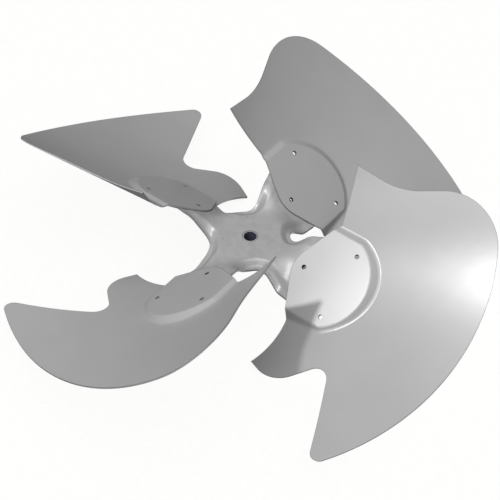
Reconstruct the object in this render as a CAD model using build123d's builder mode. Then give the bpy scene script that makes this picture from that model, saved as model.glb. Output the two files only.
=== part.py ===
# Axial fan impeller: four formed blades on a stamped, twisted four-arm spider with a turned hub.
# Z is the bore's axis, the spider's flat top lies at Z = 0 and the air leaves towards +Z.
# One blade lies along +X and the others follow at even turns. Millimetres and degrees.

import os
from math import cos, radians, sin, sqrt, tan

from build123d import *

# Impeller
blade_count = 4
tip_radius = 304.8
pad_pitch = 34

# Blade sheet and its camber, at stations along the blade:
# distance from the bore's axis, height of mid-chord above the pad's seat, tilt, camber radius
blade_thickness = 1.8
camber_stations = [
    (60, -14.9, 6.8, 349),
    (151, -5.9, -1.6, 379),
    (230, 1.5, -5.3, 440),
    (315, 9.6, -8.2, 510),
]
camber_half_chord = 205
block_floor = -60

# Blade outline, in the plane of the pad's seat
trailing_corner = (82.6, 135.2)
trailing_bend = (141, 132.5)
trailing_bend_radius = 100
tip_arc_offset = 7.2
trailing_tip_angle = 37.9
trailing_tip_radius = 65.5
leading_tip_angle = 40.4
leading_tip_radius = 11.5
notch_point = (174.9, -82.1)
notch_radius = 15
ear_point = (128.1, -138.5)
ear_radius = 42
ear_corner = (88.2, -128.6)
ear_side_point = (96.4, -92)

# Riveting pad, raised on the cambered sheet
pad_nose_x = 68.2
pad_nose_radius = 40
pad_flank_angle = 24.7
pad_low_side = 54
pad_high_side = 57
pad_round_centre = 104.5
pad_round_radius = 62.5
pad_corner_radius = 8
pad_boss_floor = -22
low_wall_angle = 46
end_wall_angle = 32
pad_bend_radius = 3.5
foot_bend_radius = 6
flank_low_end = 64
flank_high_end = 66.5

# Rivet holes, through pad and spider
rivet_hole_diameter = 5.5
rivet_hole_inner_x = 82
rivet_hole_outer_x = 133
rivet_hole_spread = 83

# Spider
spider_thickness = 2.5
twist_start = 36
twist_end = 70
arm_stations = [22, 25.5, 29, 32.5, 36, 40, 44, 48, 52, 56, 60, 65, 70, 77, 84]
arm_end = arm_stations[-1]
arm_width = 110
arm_floor = -40
rim_step = 6.5
rim_step_start = 50
window_inner_radius = 49.6
window_corner_radius = 19.4
window_half_angle = 34
window_tangent_angle = 58
lip_width = 4
rim_wall_run = 9.5
rim_wall_angle = 46
seat_clearance = 0.2
paddle_gap = 4
paddle_root_side = 42

# Hub
bore_diameter = 15.875
hub_diameter = 38.1
hub_length = 31.75
spigot_diameter = 19.5
spigot_clearance = 0.05
spigot_chamfer = 0.5
bore_chamfer = 0.5
hub_chamfer = 1

# Set screws, one above the other and a quarter turn apart
screw_diameter = 6.35
screw_length = 9.5
screw_bore_gap = 0.3
screw_clearance = 0.05
screw_upper_depth = 10
screw_lower_depth = 22
screw_key_size = 3.2
screw_key_depth = 4
screw_turn = 45

os.makedirs("parts", exist_ok=True)

turn_step = 360 / blade_count
window_centre = window_inner_radius + window_corner_radius
pad_top = blade_thickness
tip_arc_radius = tip_radius - tip_arc_offset
flank_slope = tan(radians(pad_flank_angle))
flank_vertex_x = pad_nose_x - pad_nose_radius * (1 / cos(radians(pad_flank_angle)) - 1)
flank_low = (flank_vertex_x + flank_low_end * flank_slope, -flank_low_end)
flank_high = (flank_vertex_x + flank_high_end * flank_slope, flank_high_end)
rivet_points = [
    (rivet_hole_inner_x, 0),
    (rivet_hole_outer_x, rivet_hole_spread / 2),
    (rivet_hole_outer_x, -rivet_hole_spread / 2),
]


# A plane across the blade at distance x: its own x runs along the chord and its y away from the seat
def chord_plane(x):
    return Plane(origin=(x, 0, 0), x_dir=(0, 1, 0), z_dir=(1, 0, 0))


# Solid under the cambered face, with the face moved down by drop along its own radii
def camber_block(drop):
    with BuildPart() as block:
        for x, height, tilt, radius in camber_stations:
            centre_y = -radius * sin(radians(tilt))
            centre_n = height + radius * cos(radians(tilt))
            reach = radius + drop
            low_n = centre_n - sqrt(reach**2 - (camber_half_chord + centre_y) ** 2)
            high_n = centre_n - sqrt(reach**2 - (camber_half_chord - centre_y) ** 2)
            with BuildSketch(chord_plane(x)):
                with BuildLine():
                    ThreePointArc(
                        (-camber_half_chord, low_n),
                        (centre_y, centre_n - reach),
                        (camber_half_chord, high_n),
                    )
                    Polyline(
                        (camber_half_chord, high_n),
                        (camber_half_chord, block_floor),
                        (-camber_half_chord, block_floor),
                        (-camber_half_chord, low_n),
                    )
                make_face()
        loft()
    return block.part


# Spread of a pad wall below the pad's top, for a wall moved in by drop along its normal
def wall_spread(level, drop, angle):
    return (pad_top - level) / tan(radians(angle)) - drop / sin(radians(angle))


# Pad boss: walls that lean out from the pad's outline, open towards the hub
def pad_boss(drop):
    with BuildPart() as boss:
        for level in (pad_top - drop, pad_boss_floor):
            low = pad_low_side + wall_spread(level, drop, low_wall_angle)
            high = pad_high_side + wall_spread(level, drop, end_wall_angle)
            radius = pad_round_radius + wall_spread(level, drop, end_wall_angle)
            low_x = pad_round_centre + sqrt(radius**2 - low**2)
            high_x = pad_round_centre + sqrt(radius**2 - high**2)
            with BuildSketch(Plane.XY.offset(level)) as outline:
                with BuildLine():
                    Polyline((low_x, -low), (0, -low), (0, high), (high_x, high))
                    ThreePointArc((high_x, high), (pad_round_centre + radius, 0), (low_x, -low))
                make_face()
                corners = outline.vertices().sort_by(Axis.X)[-2:]
                fillet(corners, pad_corner_radius)
        loft()
        rim = boss.faces().sort_by(Axis.Z)[-1].edges()
        fillet(rim.sort_by(Axis.X)[1:], pad_bend_radius - drop)
    return boss.part


# Blade face as a solid below it: cambered block and pad boss, with the bend at the wall's foot
def formed_block(drop):
    with BuildPart() as block:
        add(camber_block(drop))
        add(pad_boss(drop))
        foot = []
        for edge in block.edges(Select.NEW):
            box = edge.bounding_box()
            if box.max.X > pad_nose_x and box.max.Z < 0 and box.min.Z > pad_boss_floor:
                foot.append(edge)
        fillet(foot, foot_bend_radius + drop)
    return block.part


# Point on the tip arc, seen from its centre at an angle from the blade's centre line
def tip_point(angle):
    x = tip_arc_offset + tip_arc_radius * cos(radians(angle))
    y = tip_arc_radius * sin(radians(angle))
    return (x, y)


# Rounds the corner of a flat outline that lies nearest to a point
def round_corner(outline, point, radius):
    corner = outline.vertices().sort_by_distance(Vector(*point))[0]
    fillet(corner, radius)


# Blade
with BuildSketch() as blade_outline:
    with BuildLine():
        Polyline(flank_high, trailing_corner, trailing_bend, tip_point(trailing_tip_angle))
        ThreePointArc(tip_point(trailing_tip_angle), tip_point(0), tip_point(-leading_tip_angle))
        Polyline(tip_point(-leading_tip_angle), notch_point, ear_point, ear_corner)
        ThreePointArc(ear_corner, ear_side_point, flank_low)
        Polyline(flank_low, (flank_vertex_x, 0), flank_high)
    make_face()
    round_corner(blade_outline, trailing_bend, trailing_bend_radius)
    round_corner(blade_outline, tip_point(trailing_tip_angle), trailing_tip_radius)
    round_corner(blade_outline, tip_point(-leading_tip_angle), leading_tip_radius)
    round_corner(blade_outline, notch_point, notch_radius)
    round_corner(blade_outline, ear_point, ear_radius)
    round_corner(blade_outline, (flank_vertex_x, 0), pad_nose_radius)

with BuildPart() as blade:
    add(formed_block(0))
    add(formed_block(blade_thickness), mode=Mode.SUBTRACT)
    add(blade_outline.sketch)
    extrude(amount=camber_half_chord, both=True, mode=Mode.INTERSECT)
    with BuildSketch() as rivet_holes:
        with Locations(*rivet_points):
            Circle(rivet_hole_diameter / 2)
    extrude(amount=pad_top, mode=Mode.SUBTRACT)

for number in range(1, blade_count + 1):
    with BuildPart() as turned_blade:
        with Locations(Location((0, 0, 0), (0, 0, turn_step * (number - 1)))):
            add(blade.part, rotation=(pad_pitch, 0, 0))
    turned_blade.part.label = f"blade_{number}"
    export_step(turned_blade.part, f"parts/blade_{number}.step")


# Share of an arm's twist that is done at distance x, easing in from the flat and out at the pad
def twist_share(x):
    run = (x - twist_start) / (twist_end - twist_start)
    run = min(max(run, 0), 1)
    return run**2 * (3 - 2 * run)


# Depth of the windows' rim below the arm's middle at distance x, running out towards the pad
def rim_level(x):
    run = (arm_end - x) / (arm_end - rim_step_start)
    return rim_step * min(run, 1)


# Plan distance from an arm's centre line, at distance x, to the line that runs round its windows
# at a gap from their edge: an arc, with a straight run after it and its own tangent before it
def rim_reach(x, gap):
    radius = window_corner_radius + gap
    half = radians(window_half_angle)
    centre = window_centre / sqrt(2)
    arc_end = centre + radius * (cos(half) - sin(half)) / sqrt(2)
    if x > arc_end:
        run = x * (cos(half) - sin(half)) + (window_centre * sin(half) - radius) * sqrt(2)
        return run / (cos(half) + sin(half))
    arc_start = centre - radius * sin(radians(window_tangent_angle))
    on_arc = max(x, arc_start)
    ahead = (on_arc - x) * tan(radians(window_tangent_angle))
    return centre - sqrt(radius**2 - (on_arc - centre) ** 2) + ahead


# Section across an arm at distance x: its raised middle, the walls down to the windows' rim and the
# rim itself, all moved down by drop along their normals. The twist takes the arm just clear of the
# seat, so that the blade bears on the paddle
def arm_section(x, drop):
    twist = radians(pad_pitch * twist_share(x))
    inset = drop * tan(radians(rim_wall_angle / 2)) * rim_level(x) / rim_step
    foot = rim_reach(x, lip_width) / cos(twist) - inset
    shoulder = rim_reach(x, lip_width + rim_wall_run) / cos(twist) - inset
    third = (foot - shoulder) / 3
    high = -seat_clearance * twist_share(x) - drop
    low = high - rim_level(x)
    side = arm_width / 2 + drop
    floor = arm_floor - drop
    across = Plane(origin=(x, 0, 0), x_dir=(0, cos(twist), sin(twist)), z_dir=(1, 0, 0))
    with BuildSketch(across) as section:
        with BuildLine():
            Line((-side, low), (-foot, low))
            Bezier((-foot, low), (third - foot, low), (-shoulder - third, high), (-shoulder, high))
            Line((-shoulder, high), (shoulder, high))
            Bezier((shoulder, high), (shoulder + third, high), (foot - third, low), (foot, low))
            Polyline((foot, low), (side, low), (side, floor), (-side, floor), (-side, low))
        make_face()
    return section.sketch


# Solid under one arm and its share of the flat centre, with the sheet's face moved down by drop
def arm_block(drop):
    flat_edge = arm_stations[0]
    flat_reach = flat_edge * tan(radians(turn_step / 2))
    with BuildPart() as block:
        for station in arm_stations:
            add(arm_section(station, drop))
        loft()
        with BuildSketch(Plane.XY.offset(-drop)):
            Polygon((0, 0), (flat_edge, -flat_reach), (flat_edge, flat_reach), align=None)
        extrude(amount=arm_floor)
    return block.part


# Openings between the arms
def windows():
    centre = window_centre
    radius = window_corner_radius
    half = radians(window_half_angle)
    touch_x = centre - radius * sin(half)
    touch_y = radius * cos(half)
    far_x = touch_x + arm_end * cos(half)
    far_y = touch_y + arm_end * sin(half)
    with BuildSketch() as outline:
        with BuildLine():
            ThreePointArc((touch_x, -touch_y), (centre - radius, 0), (touch_x, touch_y))
            Polyline((touch_x, touch_y), (far_x, far_y), (far_x, -far_y), (touch_x, -touch_y))
        make_face()
    with BuildPart() as openings:
        with BuildSketch():
            with PolarLocations(0, blade_count, start_angle=turn_step / 2):
                add(outline.sketch)
        extrude(amount=arm_end, both=True)
    return openings.part


# Wedge that holds one arm's share of the spider
def arm_sector():
    reach = tip_radius * tan(radians(turn_step / 2))
    with BuildPart() as sector:
        with BuildSketch():
            Polygon((0, 0), (tip_radius, -reach), (tip_radius, reach), align=None)
        extrude(amount=tip_radius, both=True)
    return sector.part


# Spider
pad_seat = Plane.XY.rotated((pad_pitch, 0, 0))

with BuildSketch(pad_seat) as paddle_outline:
    vertex_x = flank_vertex_x + paddle_gap / cos(radians(pad_flank_angle))
    low = pad_low_side - paddle_gap
    high = pad_high_side - paddle_gap
    radius = pad_round_radius - paddle_gap
    low_x = pad_round_centre + sqrt(radius**2 - low**2)
    high_x = pad_round_centre + sqrt(radius**2 - high**2)
    with BuildLine():
        Polyline(
            (low_x, -low),
            (vertex_x + low * flank_slope, -low),
            (arm_end, -paddle_root_side),
            (arm_end, paddle_root_side),
            (vertex_x + high * flank_slope, high),
            (high_x, high),
        )
        ThreePointArc((high_x, high), (pad_round_centre + radius, 0), (low_x, -low))
    make_face()
    corners = paddle_outline.vertices().sort_by(Axis.X)[-2:]
    fillet(corners, pad_corner_radius - paddle_gap)

with BuildPart() as arm_sheet:
    add(arm_block(0))
    add(arm_block(spider_thickness), mode=Mode.SUBTRACT)
    add(windows(), mode=Mode.SUBTRACT)
    add(arm_sector(), mode=Mode.INTERSECT)
    add(paddle_outline.sketch)
    extrude(amount=-spider_thickness)

with BuildPart() as spider:
    with PolarLocations(0, blade_count):
        add(arm_sheet.part)
    with BuildSketch():
        Circle(spigot_diameter / 2 + spigot_clearance)
    extrude(amount=-spider_thickness, mode=Mode.SUBTRACT)
    for number in range(blade_count):
        turn = Plane.XY.rotated((0, 0, turn_step * number))
        seat = Plane(turn.location * Location((0, 0, 0), (pad_pitch, 0, 0)))
        with BuildSketch(seat):
            with Locations(*rivet_points):
                Circle(rivet_hole_diameter / 2)
        extrude(amount=-spider_thickness, mode=Mode.SUBTRACT)
spider.part.label = "spider"
export_step(spider.part, "parts/spider.step")

# Hub
hub_bottom = -spider_thickness - hub_length
screw_levels = [-spider_thickness - screw_upper_depth, -spider_thickness - screw_lower_depth]
screw_inner = bore_diameter / 2 + screw_bore_gap


# Plane across set screw number 0 or 1 at a distance from the bore's axis, facing outwards
def screw_plane(number, distance):
    turn = radians(screw_turn + 90 * number)
    out = (cos(turn), sin(turn), 0)
    origin = (distance * cos(turn), distance * sin(turn), screw_levels[number])
    return Plane(origin=origin, x_dir=(0, 0, 1), z_dir=out)


with BuildPart() as hub:
    with BuildSketch(Plane.XZ):
        with BuildLine():
            Polyline(
                (0, 0),
                (spigot_diameter / 2 - spigot_chamfer, 0),
                (spigot_diameter / 2, -spigot_chamfer),
                (spigot_diameter / 2, -spider_thickness),
                (hub_diameter / 2, -spider_thickness),
                (hub_diameter / 2, hub_bottom),
                (0, hub_bottom),
                close=True,
            )
        make_face()
    revolve(axis=Axis.Z)
    lower_rim = hub.edges().filter_by(GeomType.CIRCLE).sort_by(Axis.Z)[0]
    chamfer(lower_rim, hub_chamfer)
    with BuildSketch():
        Circle(bore_diameter / 2)
    extrude(amount=hub_bottom, mode=Mode.SUBTRACT)
    bore_wall = hub.faces().filter_by(GeomType.CYLINDER).sort_by(lambda face: face.radius)[0]
    chamfer(bore_wall.edges().filter_by(GeomType.CIRCLE).sort_by(Axis.Z)[0], bore_chamfer)
    for number in range(len(screw_levels)):
        with BuildSketch(screw_plane(number, 0)):
            Circle(screw_diameter / 2 + screw_clearance)
        extrude(amount=hub_diameter, mode=Mode.SUBTRACT)
hub.part.label = "hub"
export_step(hub.part, "parts/hub.step")

# Set screws
with BuildPart() as set_screws:
    for number in range(len(screw_levels)):
        with BuildSketch(screw_plane(number, screw_inner)):
            Circle(screw_diameter / 2)
        extrude(amount=screw_length)
        with BuildSketch(screw_plane(number, screw_inner + screw_length)):
            RegularPolygon(screw_key_size / 2, 6, major_radius=False)
        extrude(amount=-screw_key_depth, mode=Mode.SUBTRACT)
set_screws.part.label = "set_screws"
export_step(set_screws.part, "parts/set_screws.step")
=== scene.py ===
from math import pi, radians

import bpy
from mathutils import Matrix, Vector


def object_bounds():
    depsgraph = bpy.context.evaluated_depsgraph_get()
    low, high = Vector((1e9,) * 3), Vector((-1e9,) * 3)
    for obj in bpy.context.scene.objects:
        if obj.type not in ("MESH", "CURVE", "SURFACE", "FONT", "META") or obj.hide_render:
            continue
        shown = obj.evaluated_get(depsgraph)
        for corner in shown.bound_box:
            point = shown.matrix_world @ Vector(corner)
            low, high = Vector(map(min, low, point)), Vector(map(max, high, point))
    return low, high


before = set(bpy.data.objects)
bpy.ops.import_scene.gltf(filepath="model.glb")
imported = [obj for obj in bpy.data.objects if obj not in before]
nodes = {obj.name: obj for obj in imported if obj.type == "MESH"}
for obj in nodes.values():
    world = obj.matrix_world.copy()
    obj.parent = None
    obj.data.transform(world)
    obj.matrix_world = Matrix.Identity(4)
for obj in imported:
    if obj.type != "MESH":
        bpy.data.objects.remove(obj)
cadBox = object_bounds()
scene = bpy.context.scene
print("frame loaded:", ", ".join(sorted(nodes)))

# Sockets of a colour Mix node by number, for its number and vector sockets share their names
mixFactor, mixA, mixB, mixResult = 0, 6, 7, 2


def srgb(hexColour):
    # hex value as picked on screen, turned to the linear colour that shaders work in,
    # by the curve of the sRGB standard
    channels = [int(hexColour[i:i + 2], 16) / 255 for i in (1, 3, 5)]
    linear = [c / 12.92 if c <= 0.04045 else ((c + 0.055) / 1.055) ** 2.4 for c in channels]
    return (*linear, 1.0)


def join(owner, source, output, target, name):
    # a link in the node tree of a material or a world
    owner.node_tree.links.new(source.outputs[output], target.inputs[name])


def addNode(owner, kind, settings=None, links=None):
    # one node: settings by property or input, links as {input: (node, output)}, with inputs and
    # outputs by name or number
    node = owner.node_tree.nodes.new(kind)
    for name, value in (settings or {}).items():
        if isinstance(name, str) and hasattr(node, name):
            setattr(node, name, value)
        else:
            node.inputs[name].default_value = value
    for name, (source, output) in (links or {}).items():
        join(owner, source, output, node, name)
    return node


def newMaterial(name):
    # an empty material that ends in a Principled shader, with Object coordinates ready
    material = bpy.data.materials.new(name)
    material.use_nodes = True
    material.node_tree.nodes.clear()
    shader = addNode(material, "ShaderNodeBsdfPrincipled")
    addNode(material, "ShaderNodeOutputMaterial", links={"Surface": (shader, "BSDF")})
    coords = addNode(material, "ShaderNodeTexCoord")
    return material, shader, coords


def metres(millimetres):
    return millimetres / 1000


def perMetre(millimetres):
    # texture scale whose pattern repeats about every so many millimetres
    return 1000 / millimetres


# Painted shade: a darker line painted along edges, and painted shade in holes, corners and joints
# between parts
paintedShade = {
    # the painted shade's colour, a dark bluish grey
    "colour": "#34353f",
    "edgeWidth": 1.3,             # mm
    "edgeTurn": (0.94, 0.82),     # unshaded and fully painted shade, as cosine of the angle to the rounded normal
    "edgeSamples": 6,
    "hollowWidth": 6,             # mm, how far from a corner the painted shade in it reaches
    "hollowOpen": (0.75, 0.3),    # unshaded and fully painted shade, as share of open space around the point
    "hollowSamples": 8,
}


def paintShadeOnEdgesAndHollows(material, colourMix, shader):
    # joins the mixed colour to the shader, with painted shade along edges and in hollows
    rounded = addNode(
        material, "ShaderNodeBevel",
        {"samples": paintedShade["edgeSamples"], "Radius": metres(paintedShade["edgeWidth"])},
    )
    geometry = addNode(material, "ShaderNodeNewGeometry")
    turn = addNode(
        material, "ShaderNodeVectorMath", {"operation": "DOT_PRODUCT"},
        {0: (rounded, "Normal"), 1: (geometry, "Normal")},
    )
    edgeShare = addNode(
        material, "ShaderNodeMapRange",
        {"From Min": paintedShade["edgeTurn"][0], "From Max": paintedShade["edgeTurn"][1]},
        {"Value": (turn, "Value")},
    )
    hollow = addNode(
        material, "ShaderNodeAmbientOcclusion",
        {"samples": paintedShade["hollowSamples"], "Distance": metres(paintedShade["hollowWidth"])},
    )
    hollowShare = addNode(
        material, "ShaderNodeMapRange",
        {"From Min": paintedShade["hollowOpen"][0], "From Max": paintedShade["hollowOpen"][1]},
        {"Value": (hollow, "AO")},
    )
    share = addNode(
        material, "ShaderNodeMath", {"operation": "MAXIMUM"},
        {0: (edgeShare, "Result"), 1: (hollowShare, "Result")},
    )
    # painted shade: the colour is mixed toward the dark shade colour along edges and in hollows
    paintedShadeMix = addNode(
        material, "ShaderNodeMix",
        {"data_type": "RGBA", mixB: srgb(paintedShade["colour"])},
        {mixFactor: (share, "Value"), mixA: (colourMix, mixResult)},
    )
    join(material, paintedShadeMix, mixResult, shader, "Base Color")


# Rolled aluminium sheet, formed in a press and left in its satin mill finish: even and grey,
# with a faint cloudiness from rolling and a very fine grain
millAluminium = {
    "colour": "#a4a4a4",
    "cloudColour": "#9c9c9d",
    "cloudSize": 60,              # mm, clouds of slightly different grey
    "grainSize": 1.6,             # mm, the real grain is finer: this is as coarse as shows
    "grainHeight": 0.01,          # mm
    "grainStrength": 0.15,
    "roughness": (0.27, 0.32),
    "metallic": 0.07,             # low, for the skin of oxide hides most of the metal's mirror
    "edgeRadius": 0.35,           # mm, sheared edges are slightly rolled over
}

sheetMaterial, shader, coords = newMaterial("satin_mill_aluminium")
clouds = addNode(
    sheetMaterial, "ShaderNodeTexNoise",
    {"Scale": perMetre(millAluminium["cloudSize"]), "Detail": 3.0},
    {"Vector": (coords, "Object")},
)
cloudMix = addNode(
    sheetMaterial, "ShaderNodeMix",
    {
        "data_type": "RGBA",
        mixA: srgb(millAluminium["colour"]),
        mixB: srgb(millAluminium["cloudColour"]),
    },
    {mixFactor: (clouds, "Fac")},
)
# painted shade along the blades' edges and in their holes and joints
paintShadeOnEdgesAndHollows(sheetMaterial, cloudMix, shader)
grain = addNode(
    sheetMaterial, "ShaderNodeTexNoise",
    {"Scale": perMetre(millAluminium["grainSize"])},
    {"Vector": (coords, "Object")},
)
sheen = addNode(
    sheetMaterial, "ShaderNodeMapRange",
    {"To Min": millAluminium["roughness"][0], "To Max": millAluminium["roughness"][1]},
    {"Value": (grain, "Fac")},
)
join(sheetMaterial, sheen, "Result", shader, "Roughness")
rolledEdge = addNode(
    sheetMaterial, "ShaderNodeBevel", {"Radius": metres(millAluminium["edgeRadius"])},
)
grainBump = addNode(
    sheetMaterial, "ShaderNodeBump",
    {
        "Strength": millAluminium["grainStrength"],
        "Distance": metres(millAluminium["grainHeight"]),
    },
    {"Height": (grain, "Fac"), "Normal": (rolledEdge, "Normal")},
)
join(sheetMaterial, grainBump, "Normal", shader, "Normal")
shader.inputs["Metallic"].default_value = millAluminium["metallic"]
print("material:", sheetMaterial.name)

# Galvanised steel sheet, stamped and twisted: a little darker and duller than the blades, with
# the soft spangle of hot-dip zinc
zincSheet = {
    "colour": "#9d9d9e",
    "spangleColour": "#969697",
    "spangleSize": 9,             # mm, width of a zinc crystal
    "roughness": (0.32, 0.39),
    "metallic": 0.07,             # low, as weathered zinc is dull
    "edgeRadius": 0.4,            # mm
}

spiderMaterial, shader, coords = newMaterial("galvanised_steel_sheet")
spangle = addNode(
    spiderMaterial, "ShaderNodeTexVoronoi",
    {"Scale": perMetre(zincSheet["spangleSize"])},
    {"Vector": (coords, "Object")},
)
spangleGrey = addNode(
    spiderMaterial, "ShaderNodeSeparateColor", links={"Color": (spangle, "Color")},
)
spangleMix = addNode(
    spiderMaterial, "ShaderNodeMix",
    {
        "data_type": "RGBA",
        mixA: srgb(zincSheet["colour"]),
        mixB: srgb(zincSheet["spangleColour"]),
    },
    {mixFactor: (spangleGrey, "Red")},
)
# painted shade along the spider's edges and in its holes and joints
paintShadeOnEdgesAndHollows(spiderMaterial, spangleMix, shader)
spangleSheen = addNode(
    spiderMaterial, "ShaderNodeMapRange",
    {"To Min": zincSheet["roughness"][0], "To Max": zincSheet["roughness"][1]},
    {"Value": (spangleGrey, "Green")},
)
join(spiderMaterial, spangleSheen, "Result", shader, "Roughness")
rolledEdge = addNode(
    spiderMaterial, "ShaderNodeBevel", {"Radius": metres(zincSheet["edgeRadius"])},
)
join(spiderMaterial, rolledEdge, "Normal", shader, "Normal")
shader.inputs["Metallic"].default_value = zincSheet["metallic"]
print("material:", spiderMaterial.name)

# Turned steel bar: fine tool lines run round the hub's axis, and the bore's wall gets painted
# shade, a dark bluish colour
turnedSteel = {
    "colour": "#a1a2a4",
    "lineColour": "#96979a",
    "feed": 0.8,                  # mm between tool lines, the real feed is near 0.1
    "lineHeight": 0.01,           # mm
    "lineStrength": 0.4,
    "lineWaver": 0.4,             # how far the lines leave true circles
    "boreShadeColour": "#4a4b5c",
    "boreRadius": 8.0,            # mm, just over the bore's own, so that its whole wall is inside
    "roughness": 0.34,
    "metallic": 0.2,              # low, for the photograph shows the spigot matt
    "edgeRadius": 0.2,            # mm
}
waveTurn = pi / 10                # a Wave texture at scale 1 repeats after this many metres

hubMaterial, shader, coords = newMaterial("turned_steel")
hubLines = addNode(
    hubMaterial, "ShaderNodeTexWave",
    {
        "wave_type": "RINGS",
        "rings_direction": "Z",
        "Scale": perMetre(turnedSteel["feed"]) * waveTurn,
        "Distortion": turnedSteel["lineWaver"],
    },
    {"Vector": (coords, "Object")},
)
lineMix = addNode(
    hubMaterial, "ShaderNodeMix",
    {
        "data_type": "RGBA",
        mixA: srgb(turnedSteel["colour"]),
        mixB: srgb(turnedSteel["lineColour"]),
    },
    {mixFactor: (hubLines, "Fac")},
)
flatCoords = addNode(
    hubMaterial, "ShaderNodeVectorMath",
    {"operation": "MULTIPLY", 1: (1, 1, 0)},    # height left out
    {0: (coords, "Object")},
)
fromAxis = addNode(
    hubMaterial, "ShaderNodeVectorMath", {"operation": "LENGTH"}, {0: (flatCoords, "Vector")},
)
inBore = addNode(
    hubMaterial, "ShaderNodeMath",
    {"operation": "LESS_THAN", 1: metres(turnedSteel["boreRadius"])},
    {0: (fromAxis, "Value")},
)
# painted shade inside the bore, within the bore radius
boreShadeMix = addNode(
    hubMaterial, "ShaderNodeMix",
    {"data_type": "RGBA", mixB: srgb(turnedSteel["boreShadeColour"])},
    {mixFactor: (inBore, "Value"), mixA: (lineMix, mixResult)},
)
join(hubMaterial, boreShadeMix, mixResult, shader, "Base Color")
rolledEdge = addNode(
    hubMaterial, "ShaderNodeBevel", {"Radius": metres(turnedSteel["edgeRadius"])},
)
lineBump = addNode(
    hubMaterial, "ShaderNodeBump",
    {"Strength": turnedSteel["lineStrength"], "Distance": metres(turnedSteel["lineHeight"])},
    {"Height": (hubLines, "Fac"), "Normal": (rolledEdge, "Normal")},
)
join(hubMaterial, lineBump, "Normal", shader, "Normal")
shader.inputs["Metallic"].default_value = turnedSteel["metallic"]
shader.inputs["Roughness"].default_value = turnedSteel["roughness"]
print("material:", hubMaterial.name)

# Alloy steel set screws, blackened: dark and slightly oily
blackOxide = {
    "colour": "#26272a",
    "wornColour": "#3c3d40",
    "wornSize": 2.5,              # mm
    "roughness": 0.42,
    "metallic": 0.9,
}

screwMaterial, shader, coords = newMaterial("black_oxide_steel")
worn = addNode(
    screwMaterial, "ShaderNodeTexNoise",
    {"Scale": perMetre(blackOxide["wornSize"]), "Detail": 3.0},
    {"Vector": (coords, "Object")},
)
oxideMix = addNode(
    screwMaterial, "ShaderNodeMix",
    {
        "data_type": "RGBA",
        mixA: srgb(blackOxide["colour"]),
        mixB: srgb(blackOxide["wornColour"]),
    },
    {mixFactor: (worn, "Fac")},
)
join(screwMaterial, oxideMix, mixResult, shader, "Base Color")
shader.inputs["Metallic"].default_value = blackOxide["metallic"]
shader.inputs["Roughness"].default_value = blackOxide["roughness"]
print("material:", screwMaterial.name)

finishes = {"spider": spiderMaterial, "hub": hubMaterial, "set_screws": screwMaterial}
for name, node in nodes.items():
    node.material_slots[0].material = finishes.get(name, sheetMaterial)
print("finishes set on", len(nodes), "nodes")

# Floor: pale matt board at the height of the blades' lowest corners
floor = {
    "colour": "#f4f4f3",
    "speckColour": "#efefee",
    "speckSize": 4,               # mm
    "roughness": 0.9,
    "size": 12,                   # m
}

bpy.ops.object.select_all(action="DESELECT")
bpy.ops.mesh.primitive_plane_add(size=floor["size"], location=(0, 0, cadBox[0][2]))
floorPiece = bpy.context.object
floorPiece.name = "floor"
bpy.ops.object.transform_apply(location=True, rotation=True, scale=True)
floorMaterial, shader, coords = newMaterial("matt_white_board")
specks = addNode(
    floorMaterial, "ShaderNodeTexNoise",
    {"Scale": perMetre(floor["speckSize"])},
    {"Vector": (coords, "Object")},
)
speckMix = addNode(
    floorMaterial, "ShaderNodeMix",
    {"data_type": "RGBA", mixA: srgb(floor["colour"]), mixB: srgb(floor["speckColour"])},
    {mixFactor: (specks, "Fac")},
)
join(floorMaterial, speckMix, mixResult, shader, "Base Color")
shader.inputs["Roughness"].default_value = floor["roughness"]
floorPiece.data.materials.append(floorMaterial)
floorPiece.visible_diffuse = False    # the board throws no light back up at the sheet metal
floorPiece.visible_glossy = False     # and is not mirrored in it
print("floor laid")

# Light: a small key from the camera's left and high up, whose shadow has a sharp edge, a wide
# fill from lower on the same side, a wide top lamp, a low one behind for the undersides, and a
# soft sun for the floor alone. Directions point from the impeller to the lamp, sizes are in m
# and powers in W
light = {
    "lamps": {
        "key": {"direction": (-0.155, -0.498, 0.853), "size": 0.16, "power": 31},
        "fill": {"direction": (0.1, -0.83, 0.55), "size": 1.5, "power": 20},
        "top": {"direction": (0.15, -0.2, 0.96), "size": 2.6, "power": 46},
        "under": {"direction": (0.45, 0.75, -0.5), "size": 2.0, "power": 22},
    },
    "distance": 2.6,              # m
    "floorAngle": 60,             # degrees, wide enough to leave only a faint shadow
    "floorPower": 3.1,            # W per square metre
    "surround": "#f4f4f4",
    "surroundStrength": 0.16,     # as it lights the impeller
    "backdropStrength": 1.1,      # as the camera sees it
}

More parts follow.
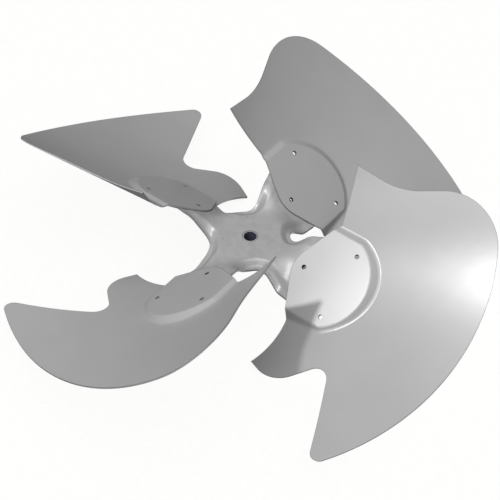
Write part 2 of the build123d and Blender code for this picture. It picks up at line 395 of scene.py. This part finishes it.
impellerLit = bpy.data.collections.new("impellerLit")
floorLit = bpy.data.collections.new("floorLit")
for node in nodes.values():
    impellerLit.objects.link(node)
floorLit.objects.link(floorPiece)
for name, lamp in light["lamps"].items():
    direction = Vector(lamp["direction"]).normalized()
    bpy.ops.object.light_add(type="AREA", location=direction * light["distance"])
    lampObject = bpy.context.object
    lampObject.name = name
    lampObject.data.shape = "DISK"
    lampObject.data.size = lamp["size"]
    lampObject.data.energy = lamp["power"]
    lampObject.rotation_euler = direction.to_track_quat("Z", "Y").to_euler()
    lampObject.light_linking.receiver_collection = impellerLit
    lampObject.light_linking.blocker_collection = impellerLit
bpy.ops.object.light_add(type="SUN")
floorLamp = bpy.context.object
floorLamp.name = "floorLamp"
floorLamp.data.angle = radians(light["floorAngle"])
floorLamp.data.energy = light["floorPower"]
floorLamp.light_linking.receiver_collection = floorLit
floorLamp.light_linking.blocker_collection = floorLit
surround = bpy.data.worlds.new("pale_surround")
surround.use_nodes = True
dim = surround.node_tree.nodes["Background"]
dim.inputs["Color"].default_value = srgb(light["surround"])
dim.inputs["Strength"].default_value = light["surroundStrength"]
pale = addNode(
    surround, "ShaderNodeBackground",
    {"Color": srgb(light["surround"]), "Strength": light["backdropStrength"]},
)
path = addNode(surround, "ShaderNodeLightPath")
chosen = addNode(
    surround, "ShaderNodeMixShader",
    links={0: (path, "Is Camera Ray"), 1: (dim, "Background"), 2: (pale, "Background")},
)
join(surround, chosen, "Shader", surround.node_tree.nodes["World Output"], "Surface")
scene.world = surround
scene.view_settings.view_transform = "Standard"
print("lights set")

# Camera: the photograph's viewpoint
camera = {
    "place": (0.70847, -0.94321, 1.20050),   # m
    "turn": (43.918, -1.156, 38.101),        # degrees, XYZ
    "lens": 99.48,                           # mm
    "sensor": 36,                            # mm
}

bpy.ops.object.camera_add(
    location=camera["place"], rotation=[radians(angle) for angle in camera["turn"]],
)
photoCamera = bpy.context.object
photoCamera.data.lens = camera["lens"]
photoCamera.data.sensor_width = camera["sensor"]
scene.camera = photoCamera
print("camera placed")
